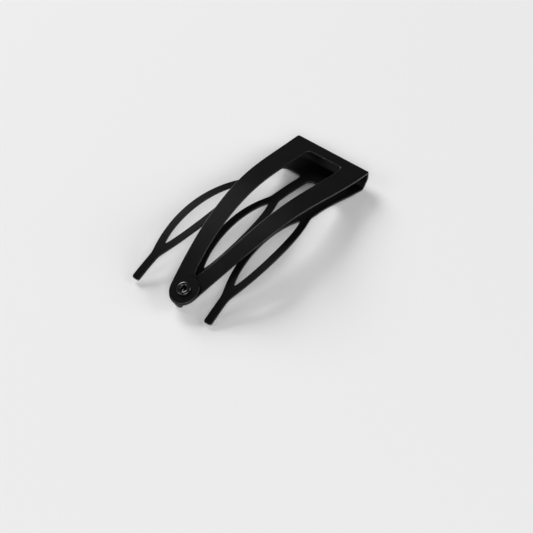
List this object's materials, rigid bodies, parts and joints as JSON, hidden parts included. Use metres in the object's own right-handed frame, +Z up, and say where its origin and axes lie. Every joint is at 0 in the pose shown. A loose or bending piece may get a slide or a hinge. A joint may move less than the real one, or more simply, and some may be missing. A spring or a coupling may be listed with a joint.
{
  "type": "three-prong snap hair clip",
  "caption": "Closed snap hair clip in black spring steel: arched triangular frame over a comb of leaf-shaped prongs, with an eyelet at the tip.",
  "frame": {"origin": "on the resting surface, under the middle of the clip's box", "axes": "+X from the rear fold to the prong tips, +Y towards the right prong, +Z up"},
  "size_m": [0.0512, 0.0234, 0.0081],
  "materials": {
    "black_satin_steel": "satin black coating on spring steel",
    "black_eyelet": "smooth black coating on a rolled eyelet"
  },
  "bodies": {
    "comb": {"comb_base": "black_satin_steel"},
    "frame": {"top_frame": "black_satin_steel", "tip_eyelet": "black_eyelet"},
    "left_prong": {"prong_left": "black_satin_steel"},
    "middle_prong": {"prong_middle": "black_satin_steel"},
    "right_prong": {"prong_right": "black_satin_steel"}
  },
  "joints": [
    {"name": "frame_open", "type": "hinge", "parent": "comb", "child": "frame", "pos_m": [-0.02477, 0.0011, 0.00286], "axis": [0, -1, 0], "range_deg": [0, 28], "stiffness_Nm_per_rad": 0.05, "springref_deg": -14.32},
    {"name": "prong_left_flex", "type": "hinge", "parent": "comb", "child": "left_prong", "pos_m": [-0.01455, -0.0067, 0.00275], "axis": [0.0837, 0.9965, 0], "range_deg": [0, 6], "stiffness_Nm_per_rad": 0.03, "springref_deg": -2.86},
    {"name": "prong_middle_flex", "type": "hinge", "parent": "comb", "child": "middle_prong", "pos_m": [-0.01455, 0.0002, 0.00275], "axis": [-0.0209, 0.9998, 0], "range_deg": [0, 6], "stiffness_Nm_per_rad": 0.03, "springref_deg": -2.86},
    {"name": "prong_right_flex", "type": "hinge", "parent": "comb", "child": "right_prong", "pos_m": [-0.01455, 0.00855, 0.00275], "axis": [0, 1, 0], "range_deg": [0, 6], "stiffness_Nm_per_rad": 0.03, "springref_deg": -2.86}
  ]
}
